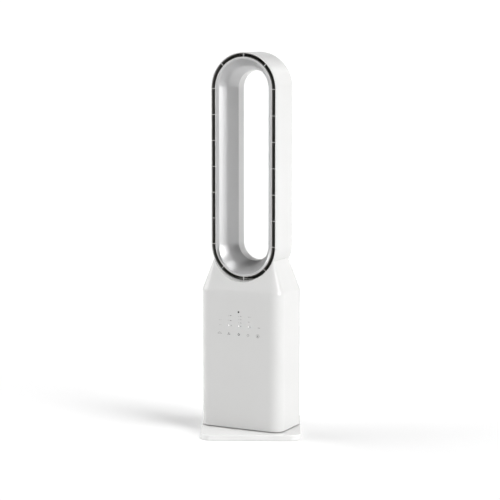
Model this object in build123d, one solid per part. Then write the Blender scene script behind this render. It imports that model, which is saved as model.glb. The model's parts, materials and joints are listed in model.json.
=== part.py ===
from build123d import *
import os
from math import sin, cos, tan, pi, radians, degrees, sqrt, atan2

os.makedirs("parts", exist_ok=True)

# ---------------------------------------------------------------- driving sizes, mm
# Row frame: origin on the floor under the swing axis, +Z up, front of the base towards -Y.
# Head parts are drawn facing -Y and then turned about +Z by HEAD_TURN, the rest pose.
HEAD_TURN = -26.0            # rest angle of the head on its base
SWING_MIN, SWING_MAX = -14.0, 66.0   # travel from rest: 40 degrees each side of straight ahead

# base
BASE_W = 251.0               # width
BASE_D = 250.0               # depth
BASE_R = 27.0                # plan corner radius
BASE_TOP = 14.4              # height of the top face
BASE_SKIRT = 0.6             # lower edge of the skirt
BASE_WALL = 2.4
BASE_EDGE = 2.2              # top edge fillet
BOSS_R, BOSS_TOP = 58.0, 22.0
FOOT_R, FOOT_POS = 9.0, 96.0

# spindle and swing drive
SPIN_R, SPIN_BORE = 22.0, 13.0
SPIN_STEP_R = 20.0
CHASSIS_Z0, CHASSIS_Z1 = 24.1, 27.1
SLEEVE_TOP = 44.0
GEAR_Z0, GEAR_Z1 = 44.2, 50.2
MODULE = 1.25
N_GEAR, N_PINION = 60, 16
GEAR_PR = MODULE * N_GEAR / 2
PINION_PR = MODULE * N_PINION / 2
CENTRES = GEAR_PR + PINION_PR + 0.12
BACKLASH = 0.22

# body
BODY_W, BODY_D, BODY_R = 228.0, 138.0, 30.0
BODY_Z0 = 16.4               # lower edge of the body, 2 mm above the base
BREAK_Z = 365.0              # where the shoulder starts
SHOULDER_Z = 447.0           # level of the shoulder's upper section
SHOULDER_CUT = 444.0         # where the shoulder ends against the ring
SHOULDER_W, SHOULDER_D, SHOULDER_R = 165.2, 86.0, 5.5
WALL = 2.5
SEAM_Y = 39.0                # rear cover joint
COVER_Z1 = 352.0             # upper edge of the rear cover

# air ring: a racetrack of revolved and straight runs round two centres
RING_LO, RING_HI = 479.6, 869.7
RING_R = 90.3                # outer radius of the ring
RING_FRONT, RING_BACK = -44.0, 53.0
RING_GAP = 45.6              # radius of the rear opening
RING_T = 2.4
SLOT_IN, SLOT_OUT = 79.7, 87.6
CREASE_Y = 19.5              # where the inner surface meets the rear lip
FRAME_D = 5.0                # depth of the front rim
RIB_T = 1.2
RIB_PITCH = (RING_HI - RING_LO) / 6
POCKET_GAP = 0.25
NECK_W, NECK_D, NECK_R, NECK_Z0 = 84.0, 62.0, 10.0, 364.0

# fan unit
FAN_R = 56.2                 # inside radius of the fan casing
FAN_T = 2.5
TIP_R = 55.4                 # impeller tip radius
BELL_Z0, BELL_Z1 = 120.0, 140.0
SHROUD_Z1 = 203.0
DIFF_Z1 = 262.0
POD_R = 33.5
MOUNTS = [(54, 42), (-54, 42), (54, -42), (-54, -42)]
SHAFT_R = 3.0
DUCT_Z1, COLLAR_Z1 = 362.0, 376.0

# control panel on the front: columns and rows of the marks
ICON_Z = 257.0
ICON_X = [-53.0, -27.5, 0.0, 26.5, 53.5]
LED_SPOTS = [(-24, 303.6), (-24, 291.0), (-29, 278.4), (5, 303.6), (5, 295.4), (5, 287.0),
             (0, 278.4), (27.5, 303.6), (27.5, 291.0), (26.5, 278.4)]
IR_Z = 314.0


# ---------------------------------------------------------------- helpers
def put(shape, name, head=False):
    solids = list(shape.solids()) if not isinstance(shape, (list, tuple)) else [s for p in shape for s in p.solids()]
    if head:
        solids = [Rot(0, 0, HEAD_TURN) * s for s in solids]
        solids = [t for s in solids for t in s.solids()]
    out = solids[0] if len(solids) == 1 else Compound(children=solids)
    export_step(out, f"parts/{name}.step")
    return out


def cyl(r, z0, z1, x=0.0, y=0.0):
    return Pos(x, y, z0) * extrude(Circle(r), amount=z1 - z0)


def tube(r1, r0, z0, z1, x=0.0, y=0.0):
    return Pos(x, y, z0) * extrude(Circle(r1) - Circle(r0), amount=z1 - z0)


def block(x0, x1, y0, y1, z0, z1):
    return Pos((x0 + x1) / 2, (y0 + y1) / 2, (z0 + z1) / 2) * Box(x1 - x0, y1 - y0, z1 - z0)


def slab(w, d, r, z0, z1):
    return Pos(0, 0, z0) * extrude(RectangleRounded(w, d, r), amount=z1 - z0)


def ycyl(r, y0, y1, x, z):
    return extrude(Plane((x, y0, z), z_dir=(0, 1, 0)) * Circle(r), amount=y1 - y0)


def xcyl(r, x0, x1, y, z):
    return extrude(Plane((x0, y, z), z_dir=(1, 0, 0)) * Circle(r), amount=x1 - x0)


def turned(points):
    """A solid of revolution about Z from a closed (r, z) outline."""
    face = Plane.XZ * make_face(Polyline(*points, close=True))
    return revolve(face, Axis.Z, 360)


def racetrack(r, y0, y1):
    """A solid racetrack of radius r round the ring's two centres, from y0 to y1."""
    sk = SlotCenterToCenter(RING_HI - RING_LO, 2 * r, rotation=90)
    return extrude(Plane((0, y1, (RING_LO + RING_HI) / 2), x_dir=(1, 0, 0), z_dir=(0, -1, 0)) * sk, amount=y1 - y0)


def round_ring(profile):
    """Carries an (r, y) profile round the racetrack."""
    right = Pos(0, 0, RING_LO) * extrude(profile, amount=RING_HI - RING_LO)
    left = mirror(right, Plane.YZ)
    top = revolve(Pos(0, 0, RING_HI) * profile, Axis((0, 0, RING_HI), (0, -1, 0)), 180)
    low = revolve(Pos(0, 0, RING_LO) * profile, Axis((0, 0, RING_LO), (0, 1, 0)), 180)
    return right + top + left + low


def rect(r0, r1, y0, y1):
    return Pos((r0 + r1) / 2, (y0 + y1) / 2) * Rectangle(r1 - r0, y1 - y0)


def screw(r_head, h_head, r_shank, length):
    """Pan-head screw along +Z with its head's seat at z = 0, the shank going to -Z."""
    head = extrude(Circle(r_head), amount=h_head)
    head = fillet(head.edges().group_by(Axis.Z)[-1], min(h_head, r_head) * 0.35)
    head -= Pos(0, 0, h_head - 0.6) * (Box(r_head * 1.2, 0.7, 1.4) + Box(0.7, r_head * 1.2, 1.4))
    return head + Pos(0, 0, -length) * extrude(Circle(r_shank), amount=length)


def gear_outline(n, pr, add, ded, thin, keep=None):
    """Involute outline, 20 degrees pressure angle. keep = (first, last) tooth of a sector."""
    base = pr * cos(radians(20))
    inv = lambda a: tan(a) - a
    half = (pi * MODULE / 2 - thin) / 2 / pr + inv(radians(20))
    tip, root = pr + add, pr - ded
    rs = [max(base, root + 0.05), 0.5 * (max(base, root) + pr), pr, pr + 0.55 * add, tip]
    flank = []
    for r in rs:
        a = (r * r / base / base - 1)
        a = atan2(sqrt(max(a, 0.0)), 1.0)
        flank.append((r, half - inv(a)))
    pts = []
    teeth = range(n) if keep is None else range(keep[0], keep[1] + 1)
    step = 2 * pi / n
    for k in teeth:
        c = (k + 0.5) * step
        pts.append((root, c - flank[0][1] - 0.004))
        pts += [(r, c - a) for r, a in flank]
        pts += [(r, c + a) for r, a in reversed(flank)]
        pts.append((root, c + flank[0][1] + 0.004))
    return [(r * cos(a), r * sin(a)) for r, a in pts], pts[0][1], pts[-1][1], root


def blade(r0, r1, z0, z1, lean, camber, t):
    """One curved blade: a thin arc section in the tangent plane, carried out along +X."""
    h = z1 - z0
    w = h * tan(radians(lean))
    a, b = (-w / 2, z0), (w / 2, z1)
    mid = (camber, (z0 + z1) / 2)
    a2, b2 = (-w / 2 + t, z0), (w / 2 + t, z1)
    mid2 = (camber + t, (z0 + z1) / 2)
    outline = [ThreePointArc(a, mid, b), Line(b, b2), ThreePointArc(b2, mid2, a2), Line(a2, a)]
    face = make_face(outline)
    return extrude(Plane((r0, 0, 0), x_dir=(0, 1, 0), z_dir=(1, 0, 0)) * face, amount=r1 - r0)


# ================================================================ base
skirt = slab(BASE_W, BASE_D, BASE_R, BASE_SKIRT, BASE_TOP)
skirt = fillet(skirt.edges().group_by(Axis.Z)[-1], BASE_EDGE)
top_cover = skirt + cyl(BOSS_R, BASE_TOP - 1, BOSS_TOP)
top_cover = fillet(top_cover.edges().filter_by(GeomType.CIRCLE).group_by(Axis.Z)[-1], 1.5)
top_cover -= slab(BASE_W - 2 * BASE_WALL, BASE_D - 2 * BASE_WALL, BASE_R - BASE_WALL, 0, BASE_TOP - BASE_WALL)
top_cover -= cyl(BOSS_R - 4, 5, BOSS_TOP - 4)
top_cover -= cyl(SPIN_R + 0.3, 5, 30)
BASE_SCREWS = [(112, 62), (-112, 62), (112, -62), (-112, -62), (62, -112), (-62, -112), (62, 112), (-62, 112)]
for x, y in BASE_SCREWS:
    top_cover += cyl(4.2, 3.7, BASE_TOP - BASE_WALL + 0.2, x, y)
for x, y in BASE_SCREWS:
    top_cover -= cyl(1.8, 0, 10.5, x, y)
PIVOT_SCREWS = [(32 * cos(radians(a)), 32 * sin(radians(a))) for a in (45, 135, 225, 315)]
for x, y in PIVOT_SCREWS:
    top_cover -= cyl(2.02, 10, BOSS_TOP - 0.6, x, y)
GLAND_Z = 7.95
top_cover -= ycyl(4.3, BASE_D / 2 - 10, BASE_D / 2 + 6, 0, GLAND_Z)
put(top_cover, "base_top_cover")

floor_w, floor_d, floor_r = BASE_W - 2 * BASE_WALL - 0.6, BASE_D - 2 * BASE_WALL - 0.6, BASE_R - BASE_WALL - 0.3
bottom = slab(floor_w, floor_d, floor_r, BASE_SKIRT + 0.2, 3.6)
feet_at = [(sx * FOOT_POS, sy * FOOT_POS) for sx in (-1, 1) for sy in (-1, 1)]
for x, y in feet_at:
    bottom -= cyl(FOOT_R + 0.1, 0, 2.4, x, y)
for x, y in BASE_SCREWS:
    bottom -= cyl(3.7, 0, 2.9, x, y) + cyl(2.0, 2, 5, x, y)
put(bottom, "base_bottom_cover")

weight = slab(212, 204, 16, 3.8, 8.8) - cyl(62, 0, 20) - block(-9, 9, 0, 130, 0, 20)
weight -= block(-73, -51, 96, 130, 0, 20) + block(51, 73, 96, 130, 0, 20)
weight -= block(-73, -51, -130, -96, 0, 20) + block(51, 73, -130, -96, 0, 20)
weight -= block(98, 130, 50, 74, 0, 20) + block(98, 130, -74, -50, 0, 20)
weight -= block(-130, -98, 50, 74, 0, 20) + block(-130, -98, -74, -50, 0, 20)
put(weight, "base_weight")

feet = []
for x, y in feet_at:
    f = cyl(FOOT_R, 0, 2.3, x, y)
    f = fillet(f.edges().group_by(Axis.Z)[0], 0.6)
    feet.append(f - cyl(4.5, 0, 0.5, x, y))
put(feet, "rubber_feet")

put([Pos(x, y, 2.9) * Rot(180, 0, 0) * screw(3.3, 1.1, 1.75, 7.0) for x, y in BASE_SCREWS], "base_screws")

# spindle: flange under the boss, tube up through it, stepped for the gear
flange_z1 = BOSS_TOP - 4.0
spindle = cyl(40, flange_z1 - 3, flange_z1) + cyl(SPIN_R, flange_z1 - 3, GEAR_Z0) + cyl(SPIN_STEP_R, flange_z1, GEAR_Z1)
spindle -= cyl(SPIN_BORE, 0, 80)
for x, y in PIVOT_SCREWS:
    spindle -= cyl(2.2, 0, 30, x, y)
WASHER_SCREWS = [(16.5 * cos(radians(a)), 16.5 * sin(radians(a))) for a in (90, 210, 330)]
for x, y in WASHER_SCREWS:
    spindle -= cyl(1.52, GEAR_Z1 - 9, 80, x, y)
put(spindle, "pivot_tube")
put([Pos(x, y, flange_z1 - 3) * Rot(180, 0, 0) * screw(3.6, 2.2, 2.0, 6.0) for x, y in PIVOT_SCREWS], "pivot_screws")

put(tube(46, 24, BOSS_TOP, CHASSIS_Z0 - 0.1), "thrust_ring")

# toothed sector, centred on the travel of the pinion
DELTA = HEAD_TURN            # the pinion stands on the head's +X side
tooth = 360 / N_GEAR
first, last = int((SWING_MIN - 15) // tooth), int((SWING_MAX + 15) // tooth)
pts, a0, a1, root = gear_outline(N_GEAR, GEAR_PR, 0.8 * MODULE, 1.15 * MODULE, BACKLASH, (first, last))
sector = make_face(Polyline((0, 0), *pts, close=True))
gear2d = Circle(29.5) + sector
gear = extrude(gear2d, amount=GEAR_Z1 - GEAR_Z0)
gear -= cyl(SPIN_STEP_R + 0.02, -1, 20)
for a in (30, 60, 90, 120):
    gear -= cyl(2.6, -1, 20, 27.0 * cos(radians(a - 50)), 27.0 * sin(radians(a - 50)))
gear = Pos(0, 0, GEAR_Z0) * Rot(0, 0, DELTA) * gear
put(gear, "swing_gear")

washer = tube(26, SPIN_BORE + 0.5, GEAR_Z1, GEAR_Z1 + 1.6)
for x, y in WASHER_SCREWS:
    washer -= cyl(1.7, 0, 80, x, y)
put(washer, "retaining_washer")
put([Pos(x, y, GEAR_Z1 + 1.6) * screw(2.8, 2.0, 1.5, 8.0) for x, y in WASHER_SCREWS], "retaining_screws")

gland = ycyl(4.25, BASE_D / 2 - 9, BASE_D / 2 + 0.2, 0, GLAND_Z) + ycyl(5.8, BASE_D / 2 + 0.05, BASE_D / 2 + 2.6, 0, GLAND_Z)
gland += ycyl(5.4, BASE_D / 2 - 9, BASE_D / 2 - 2.6, 0, GLAND_Z) & block(-10, 10, 100, 130, 3.8, 11.9)
gland = fillet(gland.edges().filter_by(GeomType.CIRCLE).group_by(Axis.Y)[-1], 1.0)
gland -= ycyl(3.4, BASE_D / 2 - 20, BASE_D / 2 + 10, 0, GLAND_Z)
put(gland, "cord_gland")

# ================================================================ head: chassis and swing drive
MX = CENTRES                 # swing motor's centre, on the head's +X side
chassis = slab(BODY_W - 2 * WALL - 0.6, BODY_D - 2 * WALL - 0.6, BODY_R - WALL - 0.3, CHASSIS_Z0, CHASSIS_Z1)
chassis += cyl(27, CHASSIS_Z0, SLEEVE_TOP)
for a in range(0, 360, 45):
    if a == 0:
        continue
    chassis += Rot(0, 0, a) * block(26, 40, -1.2, 1.2, CHASSIS_Z1 - 1, 36)
MOTOR_EARS = [(MX, 21.0), (MX, -21.0)]
for x, y in MOTOR_EARS:
    chassis += cyl(3.6, CHASSIS_Z1 - 1, 40.4, x, y)
chassis -= cyl(SPIN_R + 0.05, 0, 80)
for x, y in MOTOR_EARS:
    chassis -= cyl(1.52, 32, 60, x, y)
for x, y in MOUNTS:
    chassis -= cyl(2.0, 0, 40, x, y)
CHASSIS_SCREWS = [(100, 30), (100, -30), (-100, 30), (-100, -30)]
for x, y in CHASSIS_SCREWS:
    chassis -= cyl(2.0, 0, 40, x, y)
for x in (-86, -74):
    chassis -= block(x - 2.5, x + 2.5, -30, 30, 0, 40)
put(chassis, "lower_chassis", True)
put([Pos(x, y, CHASSIS_Z0) * Rot(180, 0, 0) * screw(3.4, 2.2, 1.95, 12) for x, y in CHASSIS_SCREWS], "chassis_screws", True)

can = cyl(17.0, CHASSIS_Z1 + 0.4, 40.4, MX) + cyl(4.5, 40, 42.2, MX)
ears = extrude(Pos(MX, 0, 40.4) * (SlotCenterToCenter(42, 7.4, rotation=90)), amount=1.0)
ears += cyl(17.0, 40.4, 41.4, MX)
swing_motor = can + ears + block(MX + 12, MX + 21, -7, 7, CHASSIS_Z1 + 2, 38)
swing_motor -= cyl(2.55, 30, 50, MX)
for x, y in MOTOR_EARS:
    swing_motor -= cyl(1.7, 30, 50, x, y)
put(swing_motor, "swing_motor", True)
put([Pos(x, y, 41.4) * screw(2.9, 1.9, 1.5, 8) for x, y in MOTOR_EARS], "swing_motor_screws", True)
put(cyl(2.5, 30.5, 51.5, MX) - block(MX + 2.0, MX + 4, -5, 5, 43.4, 60), "swing_motor_shaft", True)

pts, a0, a1, root = gear_outline(N_PINION, PINION_PR, 0.8 * MODULE, 1.15 * MODULE, BACKLASH)
pin = extrude(make_face(Polyline(*pts, close=True)), amount=7.0)
pin = Rot(0, 0, 180 + 180 / N_PINION) * pin
pin += cyl(6.0, 6.9, 8.2)
pin -= (cyl(2.52, -5, 20) - block(2.02, 6, -5, 5, -5, 20))
pin = Pos(MX, 0, GEAR_Z0 - 0.5) * pin
put(pin, "swing_pinion", True)

# ================================================================ head: housing and rear cover
outer = slab(BODY_W, BODY_D, BODY_R, BODY_Z0, BREAK_Z)
sho = loft([Pos(0, 0, BREAK_Z) * RectangleRounded(BODY_W, BODY_D, BODY_R),
            Pos(0, 0, SHOULDER_Z) * RectangleRounded(SHOULDER_W, SHOULDER_D, SHOULDER_R)])
outer += sho
outer -= block(-200, 200, -200, 200, SHOULDER_CUT, 500)
inner = slab(BODY_W - 2 * WALL, BODY_D - 2 * WALL, BODY_R - WALL, BODY_Z0 - 5, BREAK_Z)
sho_in = loft([Pos(0, 0, BREAK_Z) * RectangleRounded(BODY_W - 2 * WALL, BODY_D - 2 * WALL, BODY_R - WALL),
               Pos(0, 0, SHOULDER_Z) * RectangleRounded(SHOULDER_W - 2 * WALL, SHOULDER_D - 2 * WALL, SHOULDER_R - WALL)])
inner += sho_in
pocket = racetrack(RING_R + POCKET_GAP, -100, 100)
pocket_wall = racetrack(RING_R + POCKET_GAP + WALL, -100, 100)
housing = outer - pocket - (inner - pocket_wall)
housing -= slab(NECK_W + 0.8, NECK_D + 0.8, NECK_R + 0.4, 370, 420)
rear_zone = block(-200, 200, SEAM_Y, 200, 0, COVER_Z1)
shell_ring = (outer - inner)
cover_zone = block(-200, 200, SEAM_Y + 0.25, 200, 0, COVER_Z1 - 0.3)
rear_cover = shell_ring & cover_zone
housing -= rear_zone
# posts that take the rear cover's screws
COVER_SCREWS = [(79, 40), (79, 190), (79, 338), (-79, 40), (-79, 190), (-79, 338)]
for x, z in COVER_SCREWS:
    s = 1 if x > 0 else -1
    lo, hi = sorted((s * 74.5, s * (BODY_W / 2 - WALL + 0.2)))
    housing += block(lo, hi, 31, SEAM_Y - 0.4, z - 4.5, z + 4.5)
    housing += ycyl(4.5, 33, 60, x, z)
for x, z in COVER_SCREWS:
    housing -= ycyl(1.62, 48, 70, x, z)
# blocks that take the chassis screws
for x, y in CHASSIS_SCREWS:
    s = 1 if x > 0 else -1
    lo, hi = sorted((s * 93, s * (BODY_W / 2 - WALL + 0.2)))
    housing += block(lo, hi, y - 6, y + 6, CHASSIS_Z1 + 0.1, 42)
for x, y in CHASSIS_SCREWS:
    housing -= cyl(1.97, 20, 40, x, y)
# bosses for the control board, on the front wall
CB_SCREWS = [(67, 254), (-67, 254), (67, 320), (-67, 320)]
yi = -BODY_D / 2 + WALL
for x, z in CB_SCREWS:
    housing += ycyl(3.4, yi - 0.2, yi + 3.5, x, z)
for x, z in CB_SCREWS:
    housing -= ycyl(1.22, yi + 0.1, yi + 6, x, z)
# bosses for the power board, on the left wall
PB_SCREWS = [(-38, 54), (38, 54), (-38, 120), (38, 120)]
for y, z in PB_SCREWS:
    if y > 36:
        y = 26
    housing += xcyl(3.6, -BODY_W / 2 + WALL - 0.2, -104, y, z)
PB_SCREWS = [(y if y < 36 else 26, z) for y, z in PB_SCREWS]
for y, z in PB_SCREWS:
    housing -= xcyl(1.42, -110, -100, y, z)
housing -= ycyl(2.3, -BODY_D / 2 - 1, yi + 1, 0, IR_Z)
put(housing, "front_housing", True)

# intake grille in the rear cover: rows of upright slits
slits = []
for row in range(6):
    for col in range(27):
        x = (col - 13) * 5.3
        z = 62 + row * 43.5
        slits.append(block(x - 1.5, x + 1.5, 60, 75, z, z + 38))
rear_cover -= slits
for x, z in COVER_SCREWS:
    rear_cover += ycyl(4.8, 60.2, BODY_D / 2 - 1, x, z)
for x, z in COVER_SCREWS:
    rear_cover -= ycyl(3.6, 62.4, 80, x, z) + ycyl(1.8, 50, 80, x, z)
put(rear_cover, "rear_cover", True)
put([Plane((x, 62.4, z), z_dir=(0, 1, 0)) * screw(3.2, 2.2, 1.6, 12.0) for x, z in COVER_SCREWS], "rear_cover_screws", True)

screen = Plane((0, 64.6, 191), x_dir=(1, 0, 0), z_dir=(0, -1, 0)) * extrude(RectangleRounded(147, 276, 4), amount=1.0)
border = Plane((0, 66.2, 191), x_dir=(1, 0, 0), z_dir=(0, -1, 0)) * extrude(RectangleRounded(147, 276, 4) - RectangleRounded(141, 270, 2), amount=4.0)
bars = [block(-71.5, 71.5, 62.6, 64.4, 55.5 + 43.5 * (i + 1) - 1, 55.5 + 43.5 * (i + 1) + 1) for i in range(5)]
put(screen + border + bars, "filter_screen", True)

# ================================================================ head: air ring
# outer shell: outer wall, rounded back and rear lip, with the neck below
o = rect(RING_GAP, RING_R, -70, RING_BACK)
o = fillet(o.vertices().group_by(Axis.Y)[-1], 6.0)
i_ = rect(RING_GAP + RING_T, RING_R - 1.9, -80, RING_BACK - RING_T)
i_ = fillet(i_.vertices().group_by(Axis.Y)[-1], 3.6)
prof = o - i_ - rect(60, 120, -90, RING_FRONT + FRAME_D + 0.15) - rect(20, 65, -90, CREASE_Y + 0.15)
outer_shell = round_ring(prof)
neck = slab(NECK_W, NECK_D, NECK_R, NECK_Z0, 420) - slab(NECK_W - 2 * RING_T, NECK_D - 2 * RING_T, NECK_R - RING_T, 0, 430)
neck -= racetrack(RING_R - 1.0, -100, 100)
outer_shell -= slab(NECK_W - 2 * RING_T, NECK_D - 2 * RING_T, NECK_R - RING_T, 380, 420)
outer_shell += neck
RING_SCREWS = [(25, 1), (-25, 1), (25, -1), (-25, -1)]
for x, s in RING_SCREWS:
    lo, hi = sorted((s * 20, s * 36))
    outer_shell -= ycyl(1.52, lo, hi, x, 370)
put(outer_shell, "ring_outer_shell", True)

# front frame: outer rim, inner hoop and the twenty ribs between them
rim = rect(SLOT_OUT + 0.8, RING_R, RING_FRONT, RING_FRONT + FRAME_D)
rim = fillet(rim.vertices().sort_by(Axis.X)[-2:].sort_by(Axis.Y)[:1], 0.9)
hoop = rect(77.7, SLOT_IN - 0.9, RING_FRONT, RING_FRONT + 3.0)
frame_outer = round_ring(rim)
frame_inner = round_ring(hoop)


def ribs(t, y0, y1, r0, r1):
    out = []
    for k in range(7):
        z = RING_LO + k * RIB_PITCH
        out.append(block(r0, r1, y0, y1, z - t / 2, z + t / 2))
        out.append(block(-r1, -r0, y0, y1, z - t / 2, z + t / 2))
    for zc, angles in ((RING_HI, (45, 90, 135)), (RING_LO, (225, 270, 315))):
        for a in angles:
            out.append(Pos(0, 0, zc) * Rot(0, -a, 0) * block(r0, r1, y0, y1, -t / 2, t / 2))
    return out


front_frame = frame_outer + frame_inner + ribs(RIB_T, RING_FRONT + 0.35, RING_FRONT + FRAME_D - 0.2, 78.0, SLOT_OUT + 1.4)
put(front_frame, "ring_front_frame", True)

# black channel of the slot, with a window in each bay
liner = round_ring(rect(SLOT_IN - 0.8, SLOT_OUT + 0.7, RING_FRONT + 0.5, -9))
liner -= round_ring(rect(SLOT_IN, SLOT_OUT, RING_FRONT - 5, -10.5))
bays = round_ring(rect(SLOT_IN + 1.6, SLOT_OUT - 1.6, -11, -8)) - ribs(7.0, -12, -5, 76, 92)
liner -= bays
liner -= ribs(RIB_T + 0.1, RING_FRONT - 1, RING_FRONT + FRAME_D - 0.1, 76, 92)
put(liner, "slot_liner", True)

# inner surface: front band, then a bulging slope to the rear lip
vis = Spline([(69.0, RING_FRONT + 1.0), (57.2, -20), (48.2, 2), (RING_GAP, CREASE_Y)], tangents=[(-0.60, 1), (-0.02, 1)])
hid = Spline([(47.7, CREASE_Y), (50.3, 2.8), (59.3, -19), (70.6, RING_FRONT + 2.6)], tangents=[(0.02, -1), (0.60, -1)])
edge = [ThreePointArc((71.0, RING_FRONT), (69.6, RING_FRONT + 0.25), (69.0, RING_FRONT + 1.0)), vis,
        Line((RING_GAP, CREASE_Y), (47.7, CREASE_Y)), hid, Line((70.6, RING_FRONT + 2.6), (77.6, RING_FRONT + 2.6)),
        Line((77.6, RING_FRONT + 2.6), (77.6, RING_FRONT)), Line((77.6, RING_FRONT), (71.0, RING_FRONT))]
inner_shell = round_ring(make_face(edge))
put(inner_shell, "ring_inner_shell", True)

gasket = slab(NECK_W + 9, NECK_D + 9, NECK_R + 4, COLLAR_Z1 + 0.1, COLLAR_Z1 + 4) - slab(NECK_W + 0.6, NECK_D + 0.6, NECK_R + 0.3, 0, 500)
put(gasket, "ring_gasket", True)

# ================================================================ head: duct
FLATS = block(-100, 100, -60, 60, 0, 400)   # keeps the round flanges clear of the front and back walls
fr = FAN_R
duct = loft([Pos(0, 0, DIFF_Z1) * RectangleRounded(2 * (fr + 2.4), 2 * (fr + 2.4), fr + 2.3),
             Pos(0, 0, DUCT_Z1) * RectangleRounded(NECK_W + 5.2, NECK_D + 5.2, NECK_R + 2.6)])
duct += slab(NECK_W + 5.2, NECK_D + 5.2, NECK_R + 2.6, DUCT_Z1, COLLAR_Z1)
duct += cyl(64, DIFF_Z1, DIFF_Z1 + 3) & FLATS
duct -= loft([Pos(0, 0, DIFF_Z1) * RectangleRounded(2 * fr, 2 * fr, fr - 0.1),
              Pos(0, 0, DUCT_Z1) * RectangleRounded(NECK_W + 0.4, NECK_D + 0.4, NECK_R + 0.2)])
duct -= slab(NECK_W + 0.4, NECK_D + 0.4, NECK_R + 0.2, DUCT_Z1, 400)
RIM6 = [(61.3 * cos(radians(a)), 61.3 * sin(radians(a))) for a in (0, 60, 120, 180, 240, 300)]
for x, y in RIM6:
    duct -= cyl(1.6, DIFF_Z1 - 1, DIFF_Z1 + 5, x, y)
for x, s in RING_SCREWS:
    lo, hi = sorted((s * 20, s * 45))
    duct -= ycyl(1.6, lo, hi, x, 370)
put(duct, "air_duct", True)
ring_screws = []
for x, s in RING_SCREWS:
    seat = s * (NECK_D / 2 + 2.6)
    ring_screws.append(Plane((x, seat, 370), z_dir=(0, s, 0)) * screw(2.8, 1.8, 1.5, 4.8))
put(ring_screws, "ring_screws", True)

# ================================================================ head: fan unit casing
n = 8
bell_pts = [(53.0, 136.0)] + [(60.0 - 7.0 * cos(radians(90 * k / n)), 129.0 - 7.0 * sin(radians(90 * k / n))) for k in range(n + 1)]
bell_pts += [(60.0 - 5.0 * cos(radians(90 - 90 * k / n)), 129.0 - 5.0 * sin(radians(90 - 90 * k / n))) for k in range(n + 1)]
bell_pts += [(55.0, 134.0), (60.6, 137.0), (60.6, BELL_Z1 - 0.1), (FAN_R, BELL_Z1 - 0.1), (53.0, 138.5)]
put(turned(bell_pts), "intake_bellmouth", True)

casing = tube(FAN_R + FAN_T, FAN_R, BELL_Z1, SHROUD_Z1) + (tube(64, FAN_R, SHROUD_Z1 - 3, SHROUD_Z1) & FLATS) + (tube(64, FAN_R, BELL_Z1, BELL_Z1 + 3) & FLATS)
for x, y in MOUNTS:
    casing += cyl(7.5, BELL_Z1, BELL_Z1 + 3, x, y) - cyl(FAN_R + 1, 0, 300)
for x, y in MOUNTS:
    casing -= cyl(2.2, 0, 300, x, y)
for x, y in RIM6:
    casing -= cyl(1.52, SHROUD_Z1 - 4, SHROUD_Z1 + 1, x, y)
put(casing, "fan_housing", True)

mounts = [tube(7.0, 2.3, 134, BELL_Z1, x, y) for x, y in MOUNTS]
put(mounts, "rubber_mounts", True)

cradle = slab(132, 118, 17, 129, 134) - cyl(61, 0, 300)
cradle += block(-54, 54, 40, 44, 60, 68) + block(-54, 54, -44, -40, 60, 68)
cradle += block(52, 56, -42, 42, 60, 68) + block(-56, -52, -42, 42, 60, 68)
for x, y in MOUNTS:
    cradle += cyl(6.0, CHASSIS_Z1, 134, x, y) + cyl(9.0, CHASSIS_Z1, CHASSIS_Z1 + 4, x, y)
cradle -= cyl(61, 100, 300)
for x, y in MOUNTS:
    cradle -= cyl(1.97, 0, 45, x, y) + cyl(1.97, 118, 150, x, y)
put(cradle, "fan_cradle", True)
cs = [Pos(x, y, CHASSIS_Z0) * Rot(180, 0, 0) * screw(3.4, 1.6, 1.95, 14) for x, y in MOUNTS]
cs += [Pos(x, y, BELL_Z1 + 3) * screw(3.6, 2.2, 1.95, 18) for x, y in MOUNTS]
put(cs, "cradle_screws", True)

# diffuser: outer wall, pod and nine curved vanes
LEAD_Z = 229.0               # where the motor's lead goes in
diff = tube(FAN_R + FAN_T, FAN_R, SHROUD_Z1, DIFF_Z1) + (tube(64, FAN_R, SHROUD_Z1, SHROUD_Z1 + 3) & FLATS) + (tube(64, FAN_R, DIFF_Z1 - 3, DIFF_Z1) & FLATS)
pod = tube(POD_R, POD_R - 2, SHROUD_Z1, DIFF_Z1) + tube(POD_R, 12, SHROUD_Z1, SHROUD_Z1 + 2)
vane = blade(POD_R - 1, FAN_R + 1, 208, 257, 14, 5, 1.6)
vane = vane - cyl(POD_R - 0.5, 200, 270) & cyl(FAN_R + 0.5, 200, 270)
vanes = [Rot(0, 0, 40 * k) * vane for k in range(9)]
diff = diff + pod + vanes
for x, y in RIM6:
    diff -= cyl(1.6, SHROUD_Z1 - 1, SHROUD_Z1 + 4, x, y) + cyl(1.52, DIFF_Z1 - 4, DIFF_Z1 + 1, x, y)
diff -= xcyl(2.4, -62, -29, 0, LEAD_Z)
put(diff, "diffuser", True)
put([Pos(x, y, SHROUD_Z1 + 3) * screw(2.4, 1.6, 1.5, 5.8) for x, y in RIM6], "module_screws", True)
put([Pos(x, y, DIFF_Z1 + 3) * screw(2.4, 1.6, 1.5, 5.8) for x, y in RIM6], "duct_screws", True)

# cap over the pod
cap_pts = [(POD_R, DIFF_Z1)] + [(POD_R * cos(radians(10 * k)), DIFF_Z1 + 26 * sin(radians(10 * k))) for k in range(1, 9)] + [(0, DIFF_Z1 + 26), (0, DIFF_Z1 + 24)]
cap_pts += [((POD_R - 3.6) * cos(radians(10 * k)), DIFF_Z1 + 24 * sin(radians(10 * k))) for k in range(8, 0, -1)]
cap_pts += [(POD_R - 3.6, DIFF_Z1 - 4), (POD_R - 2.1, DIFF_Z1 - 4), (POD_R - 2.1, DIFF_Z1)]
put(turned(cap_pts), "motor_cap", True)

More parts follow.
